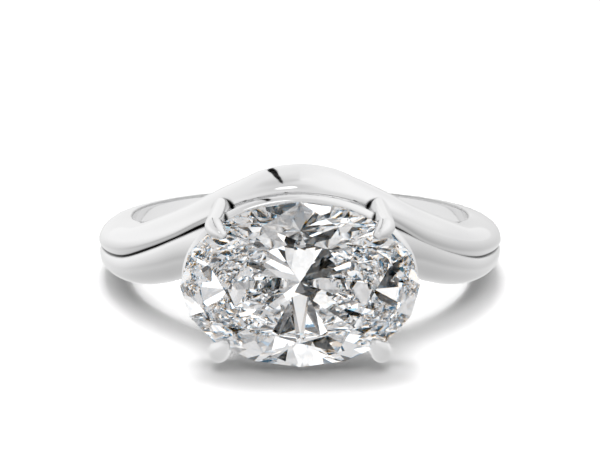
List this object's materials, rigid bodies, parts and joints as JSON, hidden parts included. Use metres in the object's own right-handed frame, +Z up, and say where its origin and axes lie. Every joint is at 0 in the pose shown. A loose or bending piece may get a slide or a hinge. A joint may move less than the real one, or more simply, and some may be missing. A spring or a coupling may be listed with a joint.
{
  "type": "twisted solitaire ring",
  "caption": "Finger ring with a twisted polished band and one oval clear stone set across the finger in claw prongs.",
  "frame": {"origin": "middle of the bounding box at its base, where the ring lies on a table", "axes": "+Z up as the ring lies, -Y towards the stone, +X across the finger; the finger's axis leans 8 degrees from +Z towards +Y"},
  "size_m": [0.0206, 0.025, 0.0083],
  "materials": {
    "white_metal": "high polish, platinum or rhodium-plated white gold",
    "clear_stone": "polished colourless brilliant"
  },
  "bodies": {
    "root": {"ring_metal": "white_metal", "oval_diamond": "clear_stone"}
  },
  "joints": []
}
